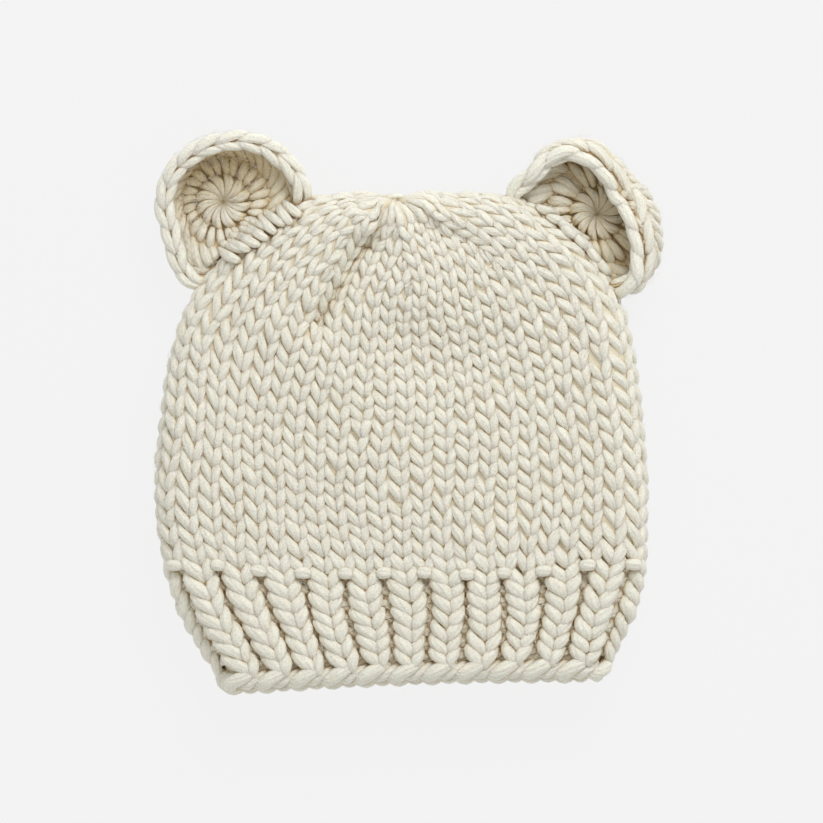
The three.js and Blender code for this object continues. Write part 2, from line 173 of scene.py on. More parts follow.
def fold_depth(flat):
    depth = 0
    for from_across, from_up, to_across, to_up, wide, deep in FOLDS:
        start = np.array([from_across * half_body, RIB_LENGTH + from_up * crown_length])
        run = np.array([to_across * half_body, RIB_LENGTH + to_up * crown_length]) - start
        share = np.clip((flat - start) @ run / (run @ run), 0, 1)[..., None]
        distance = length_of(flat - start - run * share)
        depth = depth + deep * FOLD_DEPTH * np.exp(-((distance / (wide * FOLD_WIDTH)) ** 2))
    return depth


def lie(turn, row):
    """The fabric's mid-surface. turn is 0 at the left fold, 0.25 in the middle of the upper sheet."""
    turn, row = np.broadcast_arrays(np.asarray(turn, float), np.asarray(row, float))
    left, right = side_place(rib_left, crown_left, row), side_place(rib_right, crown_right, row)
    middle, centre = middle_place(row), (left + right) / 2
    half = np.maximum(length_of(right - left) / 2, 1e-6)
    along = (right - left) / (2 * half)[..., None]
    down = np.stack([along[..., 1], -along[..., 0]], -1)
    sweep = 2 * np.arctan(((middle - centre) * down).sum(-1) / half)
    sweep = np.where(np.abs(sweep) < 1e-4, 1e-4, sweep)
    bend = half / np.sin(sweep)
    arc = 2 * bend * sweep
    lay = MOUTH_LAY + (BODY_LAY - MOUTH_LAY) * smooth(0, RIB_ROWS + 3, row)
    full = (lay - wall_at(row)) / 2
    near = np.minimum(1, length_of(middle - gather) / full)
    radius = np.maximum(np.minimum(full * np.sqrt(1 - (1 - near) ** 2), arc / 2), 1e-6)
    straight = np.maximum(arc - 2 * radius, 0)
    half_round = math.pi * radius + straight
    wrapped = turn % 1
    upper = wrapped < 0.5
    walked = np.where(upper, wrapped, 1 - wrapped) * 2 * half_round
    quarter = math.pi * radius / 2
    at_left, at_right = walked < quarter, walked > quarter + straight
    angle = np.where(at_left, walked, half_round - walked) / radius
    on_fold = straight / 2 + radius * np.cos(angle)
    across = np.where(at_left, -on_fold, np.where(at_right, on_fold, walked - quarter - straight / 2))
    rise = np.where(at_left | at_right, radius * np.sin(angle), radius)
    swing = across / (arc / 2) * sweep
    flat = centre + along * (bend * np.sin(swing))[..., None]
    flat = flat + down * (bend * (np.cos(swing) - np.cos(sweep)))[..., None]
    lift = rise / radius
    flat[..., 1] -= np.where(upper, 0, BACK_RIM_DROP * lift * (1 - smooth(-1, RIB_ROWS, row)))
    top_row = RIB_ROWS + CROWN_ROWS
    pleats = np.cos(2 * math.pi * WEDGES * (turn - wedge_line))
    pleats = pleats * smooth(top_row - PLEAT_ROWS, top_row - 1, row)
    dip = np.where(upper, fold_depth(flat) * lift * np.minimum(1, radius / full), 0)
    height = (rise + PLEAT_DEPTH * pleats * lift) * np.where(upper, 1, -1) - dip
    return np.concatenate([flat, (wall_at(row) / 2 + full + height)[..., None]], -1)


def unit(vectors):
    return vectors / np.maximum(length_of(vectors), 1e-9)[..., None]


def on_fabric(turn, row, depth):
    """Places at a depth outside the mid-surface, the way out of the fabric, and the length round the hat."""
    row = np.minimum(row, RIB_ROWS + CROWN_ROWS - 0.12)
    round_hat = lie(turn + 0.002, row) - lie(turn - 0.002, row)
    up_hat = lie(turn, row + 0.1) - lie(turn, row - 0.35)
    outward = unit(np.cross(round_hat, up_hat))
    return lie(turn, row) + outward * np.asarray(depth)[..., None], outward, length_of(round_hat) / 0.004


# The yarn. Chunky cream wool of two soft plies: plump where it lies free, squeezed where stitches cross. A
# piece of knitting is one mesh that joins many strands from arrays, each a closed tube with its length and
# girth kept as a UV map. Where the hat lies on its back the lowest strands flatten.
YARN_SIDES = 8
FLOOR_SQUASH = 1.5
FLOOR_GAP = 0.15
crown_low, crown_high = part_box("crown")
hat_place = np.array([
    (crown_low.x + crown_high.x) * 500, crown_high.y * 1000 - RIB_LENGTH - CROWN_LENGTH, 0,
])
rng = np.random.default_rng(7)


def strand(path, outward, wide, thick, crevice_shade, tone, closed=False):
    count = len(path)
    return dict(
        path=path, outward=outward, wide=np.broadcast_to(wide, count), thick=np.broadcast_to(thick, count),
        crevice_shade=np.broadcast_to(crevice_shade, count), tone=np.broadcast_to(tone, count), closed=closed,
    )


def yarn_piece(name, strands, material, nodes=(), sides=YARN_SIDES):
    """One mesh of all the strands, riding on the hat and standing for the named CAD nodes."""
    corners, quads, caps, quad_uv, crevices, tones = [], [], [], [], [], []
    first = 0
    angles = 2 * math.pi * np.arange(sides) / sides - math.pi / 2
    for one in strands:
        path, count = one["path"], len(one["path"])
        if one["closed"]:
            ahead = np.roll(path, -1, 0) - np.roll(path, 1, 0)
            steps = length_of(np.roll(path, -1, 0) - path)
        else:
            ahead = np.gradient(path, axis=0)
            steps = length_of(np.diff(path, axis=0))
        ahead = unit(ahead)
        beside = unit(np.cross(ahead, one["outward"]))
        above = np.cross(beside, ahead)
        ring = beside[:, None] * (np.cos(angles)[None, :, None] * one["wide"][:, None, None])
        ring = ring + above[:, None] * (np.sin(angles)[None, :, None] * one["thick"][:, None, None])
        corners.append((path[:, None] + ring).reshape(-1, 3))
        spans = count if one["closed"] else count - 1
        i, j = np.meshgrid(np.arange(spans), np.arange(sides), indexing="ij")
        i_next, j_next = (i + 1) % count, (j + 1) % sides
        corner = lambda a, b: first + a * sides + b
        quad = np.stack([corner(i, j), corner(i_next, j), corner(i_next, j_next), corner(i, j_next)], -1)
        quads.append(quad.reshape(-1, 4))
        walked = np.concatenate([[rng.random() * 50], np.zeros(spans)])
        walked[1:] = walked[0] + np.cumsum(steps)[:spans]
        girth = 2 * math.pi * float(one["wide"].mean()) / sides
        u, v = walked[i], j * girth
        u_next = walked[i + 1]
        quad_uv.append(np.stack([u, v, u_next, v, u_next, v + girth, u, v + girth], -1).reshape(-1, 8))
        if not one["closed"]:
            ring_order = np.arange(sides)
            caps.append(first + ring_order)
            caps.append(first + (count - 1) * sides + ring_order[::-1])
        crevices.append(np.repeat(one["crevice_shade"], sides))
        tones.append(np.repeat(one["tone"], sides))
        first += count * sides
    corners = np.concatenate(corners) + hat_place
    low = corners[:, 2] < FLOOR_SQUASH
    give = FLOOR_SQUASH - FLOOR_GAP
    corners[low, 2] = FLOOR_GAP + give * np.exp((corners[low, 2] - FLOOR_SQUASH) / give)
    corners /= 1000
    quads = np.concatenate(quads)
    loops = np.concatenate([quads.ravel(), np.concatenate(caps) if caps else np.zeros(0, int)])
    starts = np.concatenate([np.arange(len(quads)) * 4, len(quads) * 4 + np.arange(len(caps)) * sides])
    uv = np.zeros((len(loops), 2))
    uv[: len(quads) * 4] = np.concatenate(quad_uv).reshape(-1, 2) / 1000
    mesh = bpy.data.meshes.new(name)
    mesh.vertices.add(len(corners))
    mesh.vertices.foreach_set("co", corners.ravel())
    mesh.loops.add(len(loops))
    mesh.loops.foreach_set("vertex_index", loops.astype(np.int32))
    mesh.polygons.add(len(starts))
    mesh.polygons.foreach_set("loop_start", starts.astype(np.int32))
    mesh.polygons.foreach_set("use_smooth", np.ones(len(starts), bool))
    mesh.update(calc_edges=True)
    mesh.uv_layers.new(name="yarn").data.foreach_set("uv", uv.ravel())
    # Painted shade: this attribute is 0 in the open and 1 where a strand lies deepest, and it darkens the
    # yarn's colour.
    mesh.attributes.new("crevice_shade", "FLOAT", "POINT").data.foreach_set("value", np.concatenate(crevices))
    mesh.attributes.new("tone", "FLOAT", "POINT").data.foreach_set("value", np.concatenate(tones))
    mesh.materials.append(material)
    piece = bpy.data.objects.new(name, mesh)
    bpy.context.scene.collection.objects.link(piece)
    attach(piece, "root")
    if nodes:
        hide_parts(*nodes)
    return piece


def linear(hex_colour):
    values = [int(hex_colour[k : k + 2], 16) / 255 for k in (1, 3, 5)]
    return [v / 12.92 if v <= 0.04045 else ((v + 0.055) / 1.055) ** 2.4 for v in values] + [1]


def add_node(material, kind, links=(), **settings):
    """One node of a material: settings are its properties or sockets, links are (output, input name)."""
    node = material.node_tree.nodes.new(kind)
    for key, value in settings.items():
        if hasattr(node, key):
            setattr(node, key, value)
        else:
            node.inputs[key.replace("_", " ")].default_value = value
    for output, name in links:
        material.node_tree.links.new(output, node.inputs[name])
    return node


# Soft spun wool: matt, slightly see-through at the surface and haloed by fine fibres, so it shades softly.
# Two loose plies and fibre streaks run along the yarn. Light passes a little way into the wool and warms its
# shade. On top of that, the colour is painted darker and tan between close strands and where a strand sinks
# out of sight: painted shade.
PLY_SPACING = 1.8
# A real fibre is 0.03 mm wide: the streaks are drawn coarser, so that they show.
FIBRE_SPACING = 0.42
FIBRE_STRETCH = 9
FUZZ_SPACING = 0.65
PAINTED_SHADE_REACH = 3.5


def spun_wool(name, light, hollow, deep, ply_lean, sunk_light):
    """Yarn of three colours, from open to deep; the second and third are painted shade. sunk_light is how open
    a strand that dips out of sight is.
    """
    material = bpy.data.materials.new(name)
    material.use_nodes = True
    material.node_tree.nodes.clear()
    uv = add_node(material, "ShaderNodeUVMap", uv_map="yarn")
    aslant = add_node(
        material, "ShaderNodeMapping", [(uv.outputs["UV"], "Vector")], Rotation=(0, 0, ply_lean),
    )
    along = add_node(
        material, "ShaderNodeMapping", [(aslant.outputs["Vector"], "Vector")],
        Scale=(1000 / (FIBRE_SPACING * FIBRE_STRETCH), 1000 / FIBRE_SPACING, 1),
    )
    fibres = add_node(
        material, "ShaderNodeTexNoise", [(along.outputs["Vector"], "Vector")],
        Scale=1.0, Detail=3.0, Roughness=0.6, Distortion=0.6,
    )
    plies = add_node(
        material, "ShaderNodeTexWave", [(aslant.outputs["Vector"], "Vector")],
        bands_direction="Y", Scale=math.pi * 100 / PLY_SPACING, Distortion=2.4, Detail=1.0,
    )
    place = add_node(material, "ShaderNodeTexCoord")
    fuzz = add_node(
        material, "ShaderNodeTexNoise", [(place.outputs["Object"], "Vector")],
        Scale=1000 / FUZZ_SPACING, Detail=2.0, Roughness=0.7,
    )
    crevice_shade = add_node(material, "ShaderNodeAttribute", attribute_name="crevice_shade")
    tone = add_node(material, "ShaderNodeAttribute", attribute_name="tone")
    # Painted shade: ambient occlusion turns the colour darker and tan between close strands.
    hollow_shade_ao = add_node(
        material, "ShaderNodeAmbientOcclusion", samples=2, Distance=PAINTED_SHADE_REACH / 1000,
    )
    openness = add_node(
        material, "ShaderNodeMapRange", [(hollow_shade_ao.outputs["AO"], "Value")],
        **{"From Min": 0.0, "From Max": 0.65, "To Min": 0.0, "To Max": 1.0},
    )
    # Painted shade: a strand turns darker as it dips out of sight.
    sunk = add_node(
        material, "ShaderNodeMapRange", [(crevice_shade.outputs["Fac"], "Value")],
        **{"From Min": 0.0, "From Max": 1.0, "To Min": 1.0, "To Max": sunk_light},
    )
    lit = add_node(
        material, "ShaderNodeMath", [(openness.outputs["Result"], 0), (sunk.outputs["Result"], 1)],
        operation="MULTIPLY",
    )
    colours = add_node(material, "ShaderNodeValToRGB", [(lit.outputs["Value"], "Fac")])
    ramp = colours.color_ramp
    ramp.elements[0].position, ramp.elements[0].color = 0.0, linear(deep)
    ramp.elements[1].position, ramp.elements[1].color = 0.8, linear(light)
    ramp.elements.new(0.4).color = linear(hollow)
    streak = add_node(
        material, "ShaderNodeMapRange", [(fibres.outputs["Fac"], "Value")],
        **{"From Min": 0.3, "From Max": 0.7, "To Min": 0.92, "To Max": 1.05},
    )
    grain = add_node(
        material, "ShaderNodeMapRange", [(fuzz.outputs["Fac"], "Value")],
        **{"From Min": 0.3, "From Max": 0.7, "To Min": 0.88, "To Max": 1.1},
    )
    streak_grain = add_node(
        material, "ShaderNodeMath", [(streak.outputs["Result"], 0), (grain.outputs["Result"], 1)],
        operation="MULTIPLY",
    )
    shade = add_node(
        material, "ShaderNodeMath", [(streak_grain.outputs["Value"], 0), (tone.outputs["Fac"], 1)],
        operation="MULTIPLY",
    )
    tinted = add_node(
        material, "ShaderNodeVectorMath",
        [(colours.outputs["Color"], "Vector"), (shade.outputs["Value"], "Scale")], operation="SCALE",
    )
    fine_relief = add_node(
        material, "ShaderNodeMath", [(fibres.outputs["Fac"], 0), (fuzz.outputs["Fac"], 1)], operation="ADD",
    )
    relief = add_node(
        material, "ShaderNodeMath", [(plies.outputs["Fac"], 0), (fine_relief.outputs["Value"], 2)],
        operation="MULTIPLY_ADD",
    )
    relief.inputs[1].default_value = 0.5
    bump = add_node(
        material, "ShaderNodeBump", [(relief.outputs["Value"], "Height")], Strength=0.9, Distance=0.0006,
    )
    shader = add_node(
        material, "ShaderNodeBsdfPrincipled",
        [(tinted.outputs["Vector"], "Base Color"), (bump.outputs["Normal"], "Normal")],
        Roughness=0.95, IOR=1.4,
    )
    shader.inputs["Specular IOR Level"].default_value = 0.1
    shader.inputs["Sheen Weight"].default_value = 0.12
    shader.inputs["Sheen Roughness"].default_value = 0.6
    shader.inputs["Sheen Tint"].default_value = linear("#fff6e6")
    shader.inputs["Subsurface Weight"].default_value = 0.35
    shader.inputs["Subsurface Radius"].default_value = (0.75, 0.9, 1.0)
    shader.inputs["Subsurface Scale"].default_value = 0.0012
    add_node(material, "ShaderNodeOutputMaterial", [(shader.outputs["BSDF"], "Surface")])
    return material


# The hat's yarn. Its second and third colours are painted shade.
knitted_wool = spun_wool("cream wool, two soft plies", "#f5f2e3", "#e9dbb8", "#ccaa6c", 0.16, 0.66)

# The knitting: each row is one round of yarn whose stitches come up through the row below, spread into two
# plump legs in front, and pass behind the next row. A purl stitch shows its back, so its legs sink and the
# head of its loop can stand out as a bump.
STITCH_STEPS = 20
STITCHES = 48
STITCH_PITCH = 7.4
LEG_SPREAD = 1.72
LEG_LEAN = 0.18
TUCK = 1.1
LOOP_RISE = 0.92
BODY_SWING = 1.3
RIB_SWING = 1.15
BODY_YARN = 2.05
RIB_YARN = 2.75
KNIT_WIDER = 0.5
BUMP_DROP = 0.65
BUMP_RISE = 4.0
BUMP_PLUMP = 0.42
LEG_PLUMP = 0.98
BACK_SLIM = 0.64
FRONT_SLIM = 0.78
PAINTED_SHADE_DEPTH = 3.6


def wander(turn, row):
    """The slow unevenness of hand knitting, in stitches across and rows up."""
    circle = 2 * math.pi * turn
    across = 0.10 * np.sin(3 * circle + 0.55 * row) + 0.07 * np.sin(7 * circle - 0.9 * row)
    up = 0.10 * np.sin(5 * circle + 0.8 * row + 1) + 0.06 * np.sin(11 * circle - 0.5 * row)
    return across, up


def knit_round(
    level, places, below, above, room, ribbing, purl,
    rise_up=LOOP_RISE, stretch=1.0, bump=0.0, spread=LEG_SPREAD,
):
    """One round of stitches: its row, its stitches' turns and those of the rounds below and above."""
    count = len(places)
    t = np.linspace(-math.pi, math.pi, STITCH_STEPS, endpoint=False)[None, :]
    wide = (1 + np.where(purl, -1, 1) * KNIT_WIDER * ribbing)[:, None]
    room = np.broadcast_to(room, count)[:, None]
    head = np.where(purl, 1 - BUMP_DROP * bump, 1)[:, None] * rise_up
    up = np.where(np.cos(t) > 0, head, LOOP_RISE) * np.cos(t)
    across = (t + spread * np.sin(2 * t)) / (2 * math.pi) * wide * room - LEG_LEAN * up * room
    lean_up, lean_down = (above - places)[:, None], (below - places)[:, None]
    turn = places[:, None] + across + lean_up * np.clip(up, 0, 1.1) + lean_down * np.clip(-up, 0, 1)
    foot = (places + (below - places) * LOOP_RISE)[:, None] + LEG_LEAN * LOOP_RISE * room
    start, end = (foot - wide * room / 2)[:, 0], (foot + wide * room / 2)[:, 0]
    joint = (np.concatenate([[end[-1] - 1], end[:-1]]) + start) / 2
    next_joint = np.concatenate([joint[1:], [joint[0] + 1]])
    turn = turn + (joint - start)[:, None] * np.clip(-t / math.pi, 0, 1) ** 3
    turn = turn + (next_joint - end)[:, None] * np.clip(t / math.pi, 0, 1) ** 3
    leg = np.sin(t) ** 2
    on_left = t < 0

    def uneven(amount):
        return np.where(on_left, rng.normal(0, amount, (count, 1)), rng.normal(0, amount, (count, 1))) * leg

    plain_depth = -BODY_SWING * np.cos(2 * t)
    rib_depth = np.where(purl, -1, 1)[:, None] * RIB_SWING * (1 - np.cos(2 * t))
    depth = plain_depth + (rib_depth - plain_depth) * ribbing + uneven(0.14)
    depth = depth - TUCK * np.where(on_left, 0.6, 1) * np.where(purl, 0, 1)[:, None] * np.cos(t) * leg
    depth = depth + np.where(purl, bump, 0)[:, None] * BUMP_RISE * np.cos(t / 2) ** 6
    turn = turn + uneven(0.045) * room
    row = level + up * stretch + uneven(0.06)
    wander_across, wander_up = wander(turn, row)
    turn = turn + wander_across / STITCHES
    row = row + wander_up
    path, outward, around = on_fabric(turn.ravel(), row.ravel(), depth.ravel())
    snug = np.clip(around.reshape(turn.shape) * room / STITCH_PITCH, 0.2, 1) ** 0.65
    yarn = BODY_YARN + (RIB_YARN - BODY_YARN) * ribbing * np.where(purl, 0, 1)[:, None]
    at_head = np.where(purl, bump, 0)[:, None] * (1 - smooth(0.5, 1.2, np.abs(t)))
    at_leg = leg * np.where(purl, 1 - bump, 1)[:, None]
    slim = np.where(on_left | purl[:, None], BACK_SLIM, FRONT_SLIM - 0.08 * ribbing)
    swell = slim + (LEG_PLUMP - slim) * at_leg + BUMP_PLUMP * at_head
    plump = (yarn * snug * swell * (1 + uneven(0.06))).ravel()
    front = BODY_SWING + (2 * RIB_SWING - BODY_SWING) * ribbing
    # Painted shade: a strand is darker the deeper it dips below the front of the fabric.
    crevice_shade = np.clip((front - depth) / PAINTED_SHADE_DEPTH, 0, 1)
    tone = np.where(on_left, rng.normal(1, 0.012, (count, 1)), rng.normal(1, 0.012, (count, 1)))
    tone = 1 + (tone - 1) * leg
    return strand(path, outward, plump, plump * 0.9, crevice_shade.ravel(), tone.ravel(), closed=True)


# The ribbed brim: seven rounds of knit one, purl one. The knit columns stand out as plump ribs and the purl
# columns draw back between them, so the brim pulls in. It is knitted in one with the body above it, and in
# its last round the heads of the purl loops show as a row of bumps.
full_round = wedge_line + np.arange(STITCHES) / STITCHES
purl_column = np.rint(full_round * STITCHES).astype(int) % 2 == 1
ribbing_rounds = []
for level in range(RIB_ROWS):
    last = level == RIB_ROWS - 1
    ribbing_rounds.append(knit_round(
        level + 0.5, full_round, full_round, full_round, 1 / STITCHES, 0.8 if last else 1.0, purl_column,
        bump=1.0 if last else 0.0,
    ))
yarn_piece("brim_ribbing", ribbing_rounds, knitted_wool, ["rib_band"])

# The body and the crown: rounds of stockinette, every stitch a knit stitch on the outside. Near the top each
# of the eight wedges narrows by a stitch every few rounds, and the last round is drawn up tight to the gather
# by the yarn's end, which crosses the hole twice.
STITCHES_LEFT = [6.0] * 19 + [5.5, 5.0, 4.6, 4.0, 3.4, 2.0]
# The crown is 26 rows high: these 25 rounds and the gather.
CROWN_KNIT_ROWS = 26
row_step = CROWN_ROWS / CROWN_KNIT_ROWS


def wedge_columns(stitches_left):
    """Turns and rooms of a round's stitches. A wedge's last stitch takes what room is left."""
    whole = math.ceil(stitches_left - 1e-6)
    edges = np.minimum(np.arange(whole + 1), stitches_left) / stitches_left
    wedges = np.arange(WEDGES)[:, None]
    middles = wedge_line + (wedges + (edges[:-1] + edges[1:]) / 2) / WEDGES - 0.5 / STITCHES
    return middles, np.broadcast_to(np.diff(edges) / WEDGES, middles.shape)


rounds = []
for index, stitches_left in enumerate(STITCHES_LEFT):
    middles, rooms = wedge_columns(stitches_left)
    wedge_end = np.broadcast_to(middles[:, :1] + 1 / WEDGES, middles.shape)
    neighbours = []
    for other in (max(index - 1, 0), min(index + 1, len(STITCHES_LEFT) - 1)):
        next_middles = wedge_columns(STITCHES_LEFT[other])[0]
        padded = np.concatenate([next_middles, wedge_end], 1)[:, : middles.shape[1]]
        neighbours.append(padded.ravel())
    level = RIB_ROWS + (index + 0.5) * row_step
    closing = index == len(STITCHES_LEFT) - 1
    places = middles.ravel()
    no_purl = np.zeros(len(places), bool)
    # The ribs below still show in the first two rounds.
    ribbing = (0.45, 0.15)[index] if index < 2 else 0.0
    rounds.append(knit_round(
        level, places, neighbours[0], neighbours[1], rooms.ravel(), ribbing, no_purl,
        rise_up=1.9 if closing else LOOP_RISE, stretch=row_step, spread=0.7 if closing else LEG_SPREAD,
    ))
yarn_piece("body_lower", rounds[:9], knitted_wool, ["crown"])
yarn_piece("body_upper", rounds[9:17], knitted_wool)
END_REACH = 4.2
t = np.linspace(-1, 1, 12)
for lean, high in ((0.15, 13.5), (-0.2, 11.0)):
    drawn_end = np.stack([
        gather[0] + END_REACH * t * math.cos(lean),
        gather[1] + 0.7 - 1.2 * t**2 + END_REACH * t * math.sin(lean),
        high - 2.0 * t**4,
    ], -1)
    girth = 1.5 * (1 - 0.5 * t**2)
    # The drawn end is painted slightly shaded along its whole length.
    rounds.append(strand(drawn_end, np.tile([0.0, 0.0, 1.0], (12, 1)), girth, girth, 0.3, 1.0))
yarn_piece("crown_top", rounds[17:], knitted_wool)

# The felted backs: a thin sheet of matted fibre inside the wall closes the spaces between the strands, and its
# pale tan colour is painted shade at the bottoms of the holes. The matting is no piece of its own on the real
# hat.
MATTING_THICKNESS = 0.6
TANGLES_PER_MM = 1.4
SHEET_FIRST_ROW = -0.4
SHEET_ROWS = 31.1
SHEET_DEPTH_RIBS = -0.4
SHEET_DEPTH_BODY = 1.05


def felted_backs(name, place, columns, rows, material):
    """A thin sheet of matted fibre. place turns shares across and up it into points, in millimetres."""
    sheet = bmesh.new()
    bmesh.ops.create_grid(sheet, x_segments=columns, y_segments=rows, size=0.5)
    shares = np.array([corner.co[:2] for corner in sheet.verts]) + 0.5
    points = (place(shares[:, 0], shares[:, 1]) + hat_place) / 1000
    for corner, point in zip(sheet.verts, points):
        corner.co = point
    bmesh.ops.remove_doubles(sheet, verts=sheet.verts, dist=0.00002)
    bmesh.ops.recalc_face_normals(sheet, faces=sheet.faces)
    for face in sheet.faces:
        face.smooth = True
    mesh = bpy.data.meshes.new(name)
    sheet.to_mesh(mesh)
    sheet.free()
    mesh.materials.append(material)
    piece = bpy.data.objects.new(name, mesh)
    bpy.context.scene.collection.objects.link(piece)
    thickness = piece.modifiers.new("thickness", "SOLIDIFY")
    thickness.thickness = MATTING_THICKNESS / 1000
    thickness.offset = -1
    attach(piece, "root")


def matted_fibre(name, colour):
    """Wool fibres matted together, quite matt, with no strands to be seen."""
    material = bpy.data.materials.new(name)
    material.use_nodes = True
    material.node_tree.nodes.clear()
    place = add_node(material, "ShaderNodeTexCoord")
    tangle = add_node(
        material, "ShaderNodeTexNoise", [(place.outputs["Object"], "Vector")],
        Scale=1000 * TANGLES_PER_MM, Detail=3.0,
    )
    bump = add_node(
        material, "ShaderNodeBump", [(tangle.outputs["Fac"], "Height")], Strength=0.8, Distance=0.0004,
    )
    shader = add_node(
        material, "ShaderNodeBsdfPrincipled", [(bump.outputs["Normal"], "Normal")], Roughness=1.0,
    )
    shader.inputs["Base Color"].default_value = linear(colour)
    shader.inputs["Specular IOR Level"].default_value = 0.1
    add_node(material, "ShaderNodeOutputMaterial", [(shader.outputs["BSDF"], "Surface")])
    return material


# Pale tan: painted shade at the bottoms of the holes.
hole_shade_matting = matted_fibre("matted wool fibre", "#e3d9c0")


def hat_sheet(across, up):
    row = SHEET_FIRST_ROW + SHEET_ROWS * up
    in_body = smooth(RIB_ROWS - 0.6, RIB_ROWS + 0.6, row)
    return on_fabric(across, row, SHEET_DEPTH_RIBS + (SHEET_DEPTH_BODY - SHEET_DEPTH_RIBS) * in_body)[0]


felted_backs("hat_felted_backs", hat_sheet, 140, 90, hole_shade_matting)

# The cast-on edge: the yarn wraps over the first round in slanting turns, a long one and a short one to each
# rib, which makes a rope along the rim. Half a row below the ribs, it is knitted in one with them.
EDGE_STEPS = 14
EDGE_ROW = -0.5
RIBS = 24
WRAP_LINGER = 0.45
# The start of the turn, the yarn's half width, how far it swings up and down, how far forward it lies.
WRAPS = [(0.0, 2.65, 1.9, 0.7), (math.pi, 1.9, 1.71, -0.5)]


def rope_edge():
    strands = []
    turn = np.arange(RIBS * EDGE_STEPS) / (RIBS * EDGE_STEPS)
    for phase, yarn, swing, forward in WRAPS:
        angle = phase - 2 * math.pi * RIBS * turn
        angle = angle + WRAP_LINGER * np.cos(angle)
        centre, outward, _ = on_fabric(turn, np.full_like(turn, EDGE_ROW), np.zeros_like(turn))
        up = np.tile([0.0, 1.0, 0.0], (len(turn), 1))
        path = centre + up * (0.4 * forward + swing * np.cos(angle))[:, None]
        path = path + outward * (forward + swing * 0.8 * np.sin(angle))[:, None]
        # Painted shade: each wrap is darker where it turns round behind the rope.
        crevice_shade = np.clip(0.5 - 0.6 * np.sin(angle), 0, 1)
        strands.append(strand(path, outward, yarn, yarn * 0.9, crevice_shade, 1.0, closed=True))
    return strands


yarn_piece("edge_rope", rope_edge(), knitted_wool, ["cast_on_edge"])

# The ears: each is a disc crocheted in the round from a drawn-up ring, in the same wool. Its outer rounds turn
# up into a cup, and the last round leaves a chain of fat loops along the rim. Both are sewn to the corners of
# the crown. The painted shade in their deep places is browner than the hat's, to match the photograph.
EAR_RADIUS = 27.0
EAR_WALL = 4.4
EAR_ROLL = 6.5
EAR_REST = 2.2
EAR_TILT_RISE = 6.0
EAR_DISC = 10.3
EDGING = 3.2
SEAT = 0.35
# The ears' yarn. Its second and third colours are painted shade, browner than the hat's.
crocheted_wool = spun_wool("cream wool, crocheted", "#f4f1e2", "#dcc591", "#b4873e", 0.2, 0.5)


def rim_curve(table):
    """Reach, roll and curl of a rim by compass angle, smooth through its rows and round the whole circle."""
    rows = np.array([(angle + lap, *rest) for lap in (-360, 0, 360) for angle, *rest in table], float)
    at, values = rows[:, 0], rows[:, 1:]
    slope = np.gradient(values, axis=0)
    slope[1:-1] = (values[2:] - values[:-2]) / (at[2:] - at[:-2])[:, None]

    def at_angle(degrees):
        degrees = np.mod(degrees, 360)
        i = np.searchsorted(at, degrees, side="right") - 1
        gap = at[i + 1] - at[i]
        t = ((degrees - at[i]) / gap)[..., None]
        gap = gap[..., None]
        start, end, leave, arrive = values[i], values[i + 1], slope[i] * gap, slope[i + 1] * gap
        return (2 * start - 2 * end + leave + arrive) * t**3 + (
            3 * end - 3 * start - 2 * leave - arrive
        ) * t**2 + leave * t + start

    return at_angle


def rim_at(ear, degrees):
    values = ear["rim"](degrees)
    roll, curl = values[..., 1] * EAR_ROLL, np.radians(values[..., 2])
    wall_reach = roll * np.cos(np.minimum(curl, 0)) + EAR_WALL / 2
    edging_reach = roll * np.cos(curl) - (EDGING + SEAT) * np.sin(curl) + EDGING
    return values[..., 0] * EAR_RADIUS - np.maximum(wall_reach, edging_reach), roll, curl


def ear_length(ear, degrees):
    flat, roll, curl = rim_at(ear, degrees)
    return flat + roll * (math.pi / 2 + curl)


def ear_place(ear, degrees, walked):
    """The middle of the ear's wall, by compass angle and the way walked out from the crocheted ring."""
    degrees, walked = np.broadcast_arrays(np.asarray(degrees, float), np.asarray(walked, float))
    flat, roll, _ = rim_at(ear, degrees)
    angle = np.maximum(0, walked - flat) / roll
    out = np.minimum(walked, flat) + roll * np.sin(angle)
    x, y = out * np.cos(np.radians(degrees)), out * np.sin(np.radians(degrees))
    to_hat = np.clip((x * ear["to_hat"] - y) / math.sqrt(2) / EAR_RADIUS, -1, 1)
    tilt = EAR_TILT_RISE * (0.5 + 0.5 * to_hat) ** 2
    height = EAR_REST + EAR_WALL / 2 + roll * (1 - np.cos(angle)) + tilt
    return np.stack([ear["across"] + x, ear["up"] + y, height], -1)


def ear_frame(ear, degrees, walked):
    at = np.maximum(walked, 0.5)
    round_ear = ear_place(ear, degrees + 1, at) - ear_place(ear, degrees - 1, at)
    outward = unit(ear_place(ear, degrees, at + 0.1) - ear_place(ear, degrees, at - 0.1))
    return outward, unit(np.cross(outward, round_ear))


crown_edge = np.concatenate([crown_left(np.linspace(0, 1, 80)), crown_right(np.linspace(1, 0, 80))])


def inside_crown(points):
    """How far inside the crown's outline a place lies, in millimetres, below 0 outside it."""
    flat = points[..., :2]
    gaps = length_of(flat[..., None, :] - crown_edge)
    nearest = gaps.argmin(-1)
    ahead = crown_edge[np.minimum(nearest + 1, len(crown_edge) - 1)] - crown_edge[np.maximum(nearest - 1, 0)]
    away = flat - crown_edge[nearest]
    side = ahead[..., 0] * away[..., 1] - ahead[..., 1] * away[..., 0]
    return np.where(side < 0, 1, -1) * gaps.min(-1)


def on_crown(points):
    """The height of the crown's outside at a place over its folded edge, and nothing beyond it."""
    inside = inside_crown(points)
    from_axis = np.clip((BODY_LAY - KNIT_WALL) / 2 - inside, 0, None)
    reach = BODY_LAY / 2 + 0.4
    return np.where(from_axis < reach, BODY_LAY / 2 + np.sqrt(np.clip(reach**2 - from_axis**2, 0, None)), 0)


